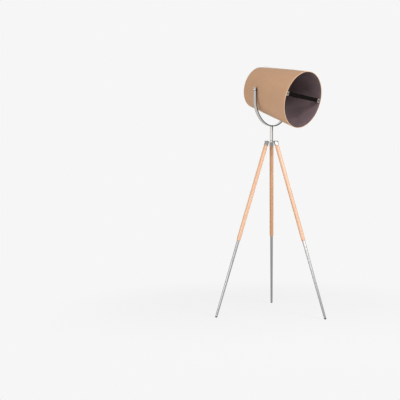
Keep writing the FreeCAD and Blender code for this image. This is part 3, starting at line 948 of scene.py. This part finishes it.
@dataclass(frozen=True)
class Drum(Assembly):
    """Wall of the shade: laminate, its cut edges, the lining, and the strip on top."""

    form: ShadeForm
    strip_front: float = 150.0
    strip_rear: float = -97.0
    strip_lift_start: float = 30.0
    strip_lift: float = 5.0
    strip_width: float = 14.0
    strip_thickness: float = 1.4
    strip_corner: float = 4.0
    segments: int = 224

    def build(self) -> None:
        """Make and dress the drum."""
        self.build_laminate()
        self.build_edges()
        self.build_lining()
        self.build_strip()

    def wall_profile(self, outer: float, inner: float, rear: float, front: float, soft: float) -> np.ndarray:
        """Section of a wall between two depths under the outer cone, with more points along it."""
        form = self.form
        along = np.linspace(rear, front, 25)[1:-1]
        corners = rounded([
            (form.outside(rear) - outer, rear, soft),
            (form.outside(front) - outer, front, soft),
            (form.outside(front) - inner, front, soft),
            (form.outside(rear) - inner, rear, soft),
        ], 3)
        outer_run = np.stack([form.outside(along) - outer, along], axis=1)
        inner_run = np.stack([form.outside(along[::-1]) - inner, along[::-1]], axis=1)
        return np.concatenate([corners[:4], outer_run, corners[4:12], inner_run, corners[12:]])

    def build_laminate(self) -> None:
        """Outer laminate, stopping just behind its cut edges."""
        form = self.form
        profile = self.wall_profile(0.0, form.wall - form.lining, form.rear + 0.4, form.front - 0.4, 0.05)
        self.add(
            "shade_laminate", lathe(profile, self.segments), Slot.LAMINATE, ["shade_shell"],
            place=form.place)

    def build_edges(self) -> None:
        """Pale cut edges at the two rims, softened by handling."""
        form = self.form
        depth = form.wall - form.lining
        for name, low, high in (
            ("front_edge", form.front - 0.9, form.front),
            ("rear_edge", form.rear, form.rear + 0.9),
        ):
            profile = rounded([
                (form.outside(low) - 0.02, low, 0.3),
                (form.outside(high) - 0.02, high, 0.3),
                (form.outside(high) - depth, high, 0.3),
                (form.outside(low) - depth, low, 0.3),
            ], 3)
            self.add(
                name, lathe(profile, self.segments), Slot.LAMINATE, place=form.place,
                material=self.finishes.edge)

    def build_lining(self) -> None:
        """Dark lining, its edge a little behind the laminate's."""
        form = self.form
        profile = self.wall_profile(
            form.wall - form.lining, form.wall, form.rear + 0.3, form.front - 0.3, 0.2)
        self.add(
            "shade_lining", lathe(profile, self.segments), Slot.LAMINATE, place=form.place,
            material=self.finishes.lining)

    def build_strip(self) -> None:
        """Pale strip along the top, bent up off the laminate at its rear end.

        Its height over the cone grows as lift * ((start - s) / run)^2 behind the point
        where it lifts.
        """
        along = np.linspace(self.strip_rear, self.strip_front, 61)
        run = self.strip_lift_start - self.strip_rear
        share = np.clip((self.strip_lift_start - along) / run, 0.0, None)
        height = self.form.outside(along) + self.strip_lift * share ** 2 + self.strip_thickness / 2
        path = np.stack([0 * along, height, along], axis=1)
        half = self.strip_thickness / 2
        corner = self.strip_corner
        ends = np.clip(np.abs(along - along.mean()) - (along[-1] - along[0]) / 2 + corner, 0.0, corner)
        width = self.strip_width / 2 - (corner - np.sqrt(corner ** 2 - ends ** 2))
        section = rectangle((-1.0, 1.0), (-half, half), 0.3)
        sections = section[None] * np.stack([width, np.ones_like(width)], axis=1)[:, None]
        across = np.tile([1.0, 0.0, 0.0], (len(path), 1))
        upward = np.tile([0.0, 1.0, 0.0], (len(path), 1))
        self.add(
            "top_strip_band", sweep(path, across, upward, sections), Slot.PALE_PLASTIC, ["top_strip"],
            place=self.form.place, close=Close.CAPPED)


@dataclass(frozen=True)
class Crossbar(Assembly):
    """Black bar across the mouth with its two clips and screws."""

    form: ShadeForm
    width: float = 24.0
    thickness: float = 3.0
    setback: float = 5.0
    rise: float = 15.4
    roll: float = 5.0
    clip_thickness: float = 1.5
    clip_length: float = 21.0
    clip_leg: float = 15.0
    clip_bend: float = 1.6
    screw_inset: float = 11.0
    screw_radius: float = 4.2
    screw_height: float = 2.6
    slot_width: float = 1.2
    slot_depth: float = 1.1
    gap: float = 0.3

    @property
    def place(self) -> Place:
        """Frame of the bar: +X along it, +Z forward, in the shade's frame."""
        lift = turn_about("z", -self.roll)
        return self.form.place.after(lift, (0.0, self.rise, 0.0))

    @property
    def front(self) -> float:
        """Distance of the bar's front face along the shade."""
        return self.form.front - self.setback

    @property
    def middle(self) -> float:
        """Middle of the bar's chord, along the bar."""
        return self.rise * math.sin(math.radians(self.roll))

    @property
    def half(self) -> float:
        """Half of the bar's chord in the lining."""
        drop = self.rise * math.cos(math.radians(self.roll))
        return math.sqrt(self.form.inside(self.front - self.thickness) ** 2 - drop ** 2)

    def chord(self, y: np.ndarray, s: float, inset: float, side: float) -> np.ndarray:
        """Where lines across the shade at heights y meet the wall on one side.

        A point (x, y) of the bar's frame lies on the circle of radius R when
        (x - m)^2 + (y + d)^2 = R^2, with m and d the circle's middle in that frame.
        """
        drop = self.rise * math.cos(math.radians(self.roll))
        radius = self.form.inside(s) - inset
        return self.middle + side * np.sqrt(radius ** 2 - (y + drop) ** 2)

    def build(self) -> None:
        """Make and dress the bar, its clips and its screws."""
        self.build_bar()
        for side, name in ((-1.0, "left"), (1.0, "right")):
            self.build_clip(side, name)
            self.build_screw(side, name)

    def build_bar(self) -> None:
        """Flat bar whose ends follow the wall."""
        high = self.width / 2
        levels = np.linspace(-high, high, 9)
        back = self.front - self.thickness
        reach = 2 * self.gap + self.clip_thickness
        right = np.stack([self.chord(levels, back, reach, 1.0), levels], axis=1)
        left = np.stack([self.chord(levels[::-1], back, reach, -1.0), levels[::-1]], axis=1)
        outline = np.concatenate([right, left])
        self.add(
            "crossbar", slab(outline, back, self.front, 0.5), Slot.BLACK_PAINT, ["front_crossbar"],
            place=self.place, close=Close.CAPPED)

    def build_clip(self, side: float, name: str) -> None:
        """Angle clip: a plate on the bar's end, bent round onto the wall.

        Its section runs along the plate, round a small bend and back along the wall, and is
        carried over the clip's width with the wall's curve.
        """
        top = self.front + self.clip_thickness
        levels = np.linspace(-self.width / 2, self.width / 2, 13)
        start = self.middle + side * (self.half - self.clip_length)
        half_gap = self.gap + self.clip_thickness / 2
        bend = np.linspace(0.0, np.pi / 2, 7)
        mid = self.clip_thickness / 2
        radius = self.clip_bend
        wall_front = self.chord(levels, top, half_gap, side)
        wall_back = self.chord(levels, top - self.clip_leg, half_gap, side)
        corner = wall_front[:, None] - side * radius * (1 - np.sin(bend))[None]
        corner_s = np.broadcast_to(top - mid - radius * (1 - np.cos(bend)), corner.shape)
        xs = np.concatenate([np.full((len(levels), 1), start), corner, wall_back[:, None]], axis=1)
        ss = np.concatenate([
            np.full((len(levels), 1), top - mid), corner_s, np.full((len(levels), 1), top - self.clip_leg),
        ], axis=1)
        line = np.stack([xs, np.broadcast_to(levels[:, None], xs.shape), ss], axis=2)
        along = np.gradient(line, axis=1)
        normal = np.stack([-along[..., 2], 0 * along[..., 0], along[..., 0]], axis=2)
        normal = normal / np.linalg.norm(normal, axis=2, keepdims=True)
        grid = np.concatenate([line + normal * mid, (line - normal * mid)[:, ::-1]], axis=1)
        self.add(
            "clip_" + name, grid, Slot.PALE_PAINT, ["crossbar_clip_" + name], place=self.place,
            close=Close.CAPPED)

    def build_screw(self, side: float, name: str) -> None:
        """Domed black screw head with a driving slot across it."""
        seat = self.front + self.clip_thickness
        radius, high = self.screw_radius, self.screw_height
        profile = rounded([
            (0.0, seat, 0.0), (radius, seat, 0.2), (radius, seat + high, 1.6), (0.0, seat + high, 0.0),
        ], 6)
        rows = np.linspace(0.0, 0.55 * radius, 14)[-2::-1]
        profile = np.concatenate([profile[:-1], np.stack([rows, np.full_like(rows, seat + high)], axis=1)])
        grid = lathe(profile, 72)
        slot = (np.abs(grid[..., 1]) < self.slot_width / 2) & (grid[..., 2] > seat + high * 0.6)
        grid[..., 2] = np.where(slot, grid[..., 2] - self.slot_depth, grid[..., 2])
        shift = np.array([self.middle + side * (self.half - self.screw_inset), 0.0, 0.0])
        nodes = ["clip_screws"] if side < 0 else []
        self.add("clip_screw_" + name, grid + shift, Slot.BLACK_PAINT, nodes, place=self.place)


@dataclass(frozen=True)
class Pivot(Assembly):
    """Spacers and domed nuts of the tilt axis, on both arms."""

    form: ShadeForm
    arm_outer: float = 156.42
    seat_gap: float = 0.1
    nut_radius: float = 6.3
    nut_length: float = 7.0
    dome_radius: float = 5.4
    dome_height: float = 5.2
    spacer_length: float = 11.6
    spacer_radius: float = 6.5
    spacer_lift: float = 0.3
    bore: float = 3.2

    def side_place(self, side: float) -> Place:
        """Frame of one pivot: +Z outwards along the tilt axis."""
        return self.form.place.after(turn_about("y", 90.0 * side), (0.0, 0.0, 0.0))

    def build(self) -> None:
        """Make and dress both pivots."""
        for side, name in ((-1.0, "left"), (1.0, "right")):
            place = self.side_place(side)
            self.build_nut(place, name)
            self.build_spacer(place, name)

    def build_nut(self, place: Place, name: str) -> None:
        """Domed nut: a six-sided foot with a half-round cap.

        The outline's distance from the axis goes from the hexagon's at the foot to the
        dome's radius at its top, and then closes as radius * cos t over height * sin t.
        """
        seat = self.arm_outer + self.seat_gap
        outline = regular(self.nut_radius, 6, 0.5)
        reach = np.linalg.norm(outline, axis=1)
        unit = outline / reach[:, None]
        flat = self.nut_radius * math.cos(math.pi / 6)
        foot = [(reach - 0.5, seat), (reach, seat + 0.5), (reach, seat + self.nut_length - 1.0)]
        chamfer = [(np.minimum(reach, flat + 0.1), seat + self.nut_length)]
        turns = np.linspace(0.0, np.pi / 2, 11)
        dome = [
            (np.full_like(reach, self.dome_radius * math.cos(turn)),
             seat + self.nut_length + self.dome_height * math.sin(turn))
            for turn in turns
        ]
        rings = foot + chamfer + dome
        grid = stacked(unit, rings)
        nodes = ["pivot_cap_nuts"] if name == "left" else []
        self.add("dome_nut_" + name, grid, Slot.CHROME, nodes, place=place, close=Close.CAPPED)

    def build_spacer(self, place: Place, name: str) -> None:
        """Six-sided sleeve whose foot follows the shade's skin.

        Foot points lie at sqrt(R^2 - y^2), with R the shade's radius at the tilt axis and the
        sleeve's lift off the skin.
        """
        outline = regular(self.spacer_radius, 6, 0.4)
        end = self.form.outside(0.0) + self.spacer_length
        radius = self.form.outside(0.0) + self.spacer_lift
        foot = np.sqrt(radius ** 2 - outline[:, 1] ** 2)
        inner = outline * (self.bore / np.linalg.norm(outline, axis=1))[:, None]
        inner_foot = np.sqrt(radius ** 2 - inner[:, 1] ** 2)
        rings = [
            (inner, inner_foot), (outline, foot), (outline, np.full_like(foot, end - 0.4)),
            (outline * 0.94, np.full_like(foot, end)), (inner, np.full_like(foot, end)),
        ]
        grid = np.stack([np.concatenate([ring, height[:, None]], axis=1) for ring, height in rings])
        nodes = ["pivot_spacers"] if name == "left" else []
        self.add("spacer_" + name, grid, Slot.BLACK_PLASTIC, nodes, place=place)


@dataclass(frozen=True)
class LampHolder(Assembly):
    """Threaded lamp holder with its clamping ring, and the cord's bush behind it."""

    form: ShadeForm
    carrier: float = -14.0
    carrier_thickness: float = 2.0
    skirt_radius: float = 19.8
    skirt_length: float = 22.0
    body_radius: float = 21.5
    body_length: float = 34.0
    thread_radius: float = 13.3
    thread_length: float = 25.0
    thread_depth: float = 0.9
    pitch: float = 3.6
    flute_count: int = 24
    flute_depth: float = 0.35
    scallop_count: int = 18
    scallop_depth: float = 0.9
    ring_radius: float = 27.0
    ring_length: float = 8.0
    cord_radius: float = 3.6
    back_inset: float = 7.0
    panel: float = 2.0
    bush_radius: float = 10.5
    bush_length: float = 3.0
    bush_bore: float = 3.3
    sleeve_radius: float = 6.0
    sleeve_length: float = 9.0

    def build(self) -> None:
        """Make and dress the holder, its ring and the bush."""
        self.build_holder()
        self.build_ring()
        self.build_bush()

    def build_holder(self) -> None:
        """Moulded body with shallow flutes behind the carrier and a real thread in its bore.

        The bore's radius is r + d cos(2 pi z / pitch - t) at turn t, which makes one helix;
        the body's is r - f (1 + cos n t) / 2 with n flutes.
        """
        seat = self.carrier - self.carrier_thickness
        rim, back = self.carrier + self.skirt_length, seat - self.body_length
        floor = rim - self.thread_length
        outer = rounded([
            (self.cord_radius, back, 0.0), (self.body_radius, back, 5.0), (self.body_radius, seat, 0.4),
            (self.skirt_radius, seat, 0.0), (self.skirt_radius, rim, 0.8),
            (self.thread_radius + 0.6, rim, 0.4),
        ], 5, loop=False)
        depths = np.linspace(rim, floor + 0.4, 90)[1:]
        bore = np.stack([np.full_like(depths, self.thread_radius), depths], axis=1)
        floor_run = np.array([[self.thread_radius, floor], [self.cord_radius, floor]])
        profile = np.concatenate([outer, bore, floor_run])
        grid = lathe(profile, 120)
        turns = np.arctan2(grid[..., 1], grid[..., 0])
        height = grid[..., 2]
        radius = np.hypot(grid[..., 0], grid[..., 1])
        in_bore = np.zeros(len(profile), bool)
        in_bore[len(outer):len(outer) + len(bore)] = True
        wave = self.thread_depth * 0.5 * (np.cos(2 * np.pi * height / self.pitch - turns) - 1.0)
        fluted = (height > back + 6.0) & (height < seat - 2.0) & (radius > self.body_radius - 0.1)
        changed = radius + np.where(in_bore[None], wave + self.thread_depth * 0.5, 0.0)
        flutes = self.flute_depth * (1 + np.cos(self.flute_count * turns)) / 2
        changed = changed - np.where(fluted, flutes, 0.0)
        grid[..., 0] = changed * np.cos(turns)
        grid[..., 1] = changed * np.sin(turns)
        self.add("holder_body", grid, Slot.BLACK_PLASTIC, ["lamp_holder"], place=self.form.place)

    def build_ring(self) -> None:
        """Clamping ring with a scalloped grip: radius r - f (1 + cos n t) / 2, n scallops."""
        low, high = self.carrier, self.carrier + self.ring_length
        bore = self.skirt_radius + 0.1
        profile = rounded([
            (bore, low, 0.3), (self.ring_radius, low, 0.5), (self.ring_radius, high, 1.4), (bore, high, 0.4),
        ], 4)
        grid = lathe(profile, 180)
        turns = np.arctan2(grid[..., 1], grid[..., 0])
        radius = np.hypot(grid[..., 0], grid[..., 1])
        outer = np.clip((radius - bore) / (self.ring_radius - bore), 0.0, 1.0)
        radius = radius - self.scallop_depth * outer * (1 + np.cos(self.scallop_count * turns)) / 2
        grid[..., 0], grid[..., 1] = radius * np.cos(turns), radius * np.sin(turns)
        self.add("clamp_ring", grid, Slot.BLACK_PLASTIC, ["holder_ring"], place=self.form.place)

    def build_bush(self) -> None:
        """Six-sided bush in the back panel with a rounded mouth for the cord."""
        back = self.form.rear + self.back_inset
        outline = regular(self.bush_radius, 6, 0.8)
        reach = np.linalg.norm(outline, axis=1)
        unit = outline / reach[:, None]
        inside = back + self.panel + self.sleeve_length
        rings = [
            (np.full_like(reach, self.bush_bore), back - self.bush_length + 1.2),
            (np.full_like(reach, self.bush_bore + 0.4), back - self.bush_length + 0.4),
            (np.full_like(reach, self.bush_bore + 1.2), back - self.bush_length),
            (reach - 0.6, back - self.bush_length),
            (reach, back - self.bush_length + 0.6),
            (reach, back),
            (np.full_like(reach, self.sleeve_radius), back),
            (np.full_like(reach, self.sleeve_radius), inside - 0.5),
            (np.full_like(reach, self.sleeve_radius - 0.5), inside),
            (np.full_like(reach, self.bush_bore), inside),
        ]
        grid = stacked(unit, rings)
        self.add("cord_bush", grid, Slot.BLACK_PLASTIC, ["cord_gland"], place=self.form.place)


# ------------------------------------------------------------------ frame nodes kept as they are
def dress_frame_nodes(finishes: Finishes) -> None:
    """Give every frame node the material of its slot, whether it shows or not."""
    slots = {part["node"]: Slot(part["material_slot"]) for part in frame["record"]["subparts"]}
    for name, node in frame["nodes"].items():
        LOG.info("node %s shows %s", name, slots[name].value)
        node.data.materials.clear()
        node.data.materials.append(finishes.of_slot(slots[name]))


# ------------------------------------------------------------------ studio
@dataclass(frozen=True)
class Studio:
    """Pale floor and world, soft lamps and the camera, in metres.

    Each lamp has a name, a place, a power in watts and a side.
    """

    white: float = 0.922
    ambient: float = 0.29
    camera_place: tuple[float, float, float] = (-3.942, -3.273, 0.920)
    camera_forward: tuple[float, float, float] = (0.7119, 0.7009, -0.0448)
    lens: float = 75.6
    sensor: float = 36.0
    floor_half: float = 30.0
    floor_colour: tuple[float, ...] = (0.95, 0.95, 0.95, 1.0)
    shadow_fade: tuple[float, float] = (0.5, 1.6)
    shadow_share: float = 0.16
    aim_height: float = 1.1
    lamps: tuple[tuple[str, Triple, float, float], ...] = (
        ("key", (-3.6, -0.6, 1.15), 61.0, 2.0),
        ("front", (-0.5, -3.5, 2.9), 138.0, 1.6),
        ("back", (1.5, 3.2, 1.8), 9.0, 2.0),
    )

    def build(self) -> None:
        """Set up the whole studio."""
        self.build_world()
        self.build_floor()
        self.build_lamps()
        self.build_camera()
        bpy.context.scene.view_settings.view_transform = "Standard"

    def build_world(self) -> None:
        """Even pale world: white where it is seen or mirrored, softer where it lights."""
        world = bpy.data.worlds.new("studio")
        bpy.context.scene.world = world
        graph = Graph("studio", world)
        soft, white = (
            graph.node("ShaderNodeBackground", None, {0: (level, level, level, 1.0)})
            for level in (self.ambient, self.white)
        )
        graph.blend(graph.seen(), soft, white)

    def build_floor(self) -> None:
        """Wide pale floor that keeps a faint shadow near the lamp and fades into the world."""
        half = self.floor_half
        mesh = bpy.data.meshes.new("floor")
        mesh.from_pydata(
            [(-half, -half, 0.0), (half, -half, 0.0), (half, half, 0.0), (-half, half, 0.0)],
            [], [(0, 1, 2, 3)])
        floor = bpy.data.objects.new("floor", mesh)
        bpy.context.scene.collection.objects.link(floor)
        graph = Graph("pale floor")
        length = graph.node("ShaderNodeVectorMath", {"operation": "LENGTH"}, {0: graph.place()})
        near = 1.0 - graph.step(Value(graph, length.outputs["Value"]), *self.shadow_fade)
        level = (self.white, self.white, self.white, 1.0)
        plain = graph.node("ShaderNodeEmission", None, {"Color": level})
        matte = graph.node("ShaderNodeBsdfDiffuse", None, {"Color": self.floor_colour})
        graph.blend(1.0 - graph.seen() * (1.0 - self.shadow_share * near), plain, matte)
        mesh.materials.append(graph.material)

    def build_lamps(self) -> None:
        """Large soft lamps: a low key from the camera's left, a high front one and a weak back one."""
        for name, place, power, size in self.lamps:
            lamp = bpy.data.lights.new(name, "AREA")
            lamp.energy = power
            lamp.size = size
            holder = bpy.data.objects.new(name, lamp)
            holder.location = place
            aim = Vector((0.0, 0.0, self.aim_height)) - Vector(place)
            holder.rotation_euler = aim.to_track_quat("-Z", "Y").to_euler()
            bpy.context.scene.collection.objects.link(holder)

    def build_camera(self) -> None:
        """Camera at the photograph's angle."""
        camera = bpy.data.cameras.new("camera")
        camera.lens = self.lens
        camera.sensor_width = self.sensor
        holder = bpy.data.objects.new("camera", camera)
        holder.location = self.camera_place
        holder.rotation_euler = Vector(self.camera_forward).to_track_quat("-Z", "Y").to_euler()
        bpy.context.scene.collection.objects.link(holder)
        bpy.context.scene.camera = holder


def main() -> None:
    """Build the studio and every sub-assembly in order."""
    logging.basicConfig(level=logging.INFO, format="%(message)s")
    Studio().build()
    finishes = Finishes()
    dress_frame_nodes(finishes)
    form = ShadeForm(PIVOT_HEIGHT)
    Stand(finishes).build()
    Yoke(finishes, PIVOT_HEIGHT).build()
    Drum(finishes, form).build()
    Crossbar(finishes, form).build()
    Pivot(finishes, form).build()
    LampHolder(finishes, form).build()


if __name__ == "__main__":
    main()
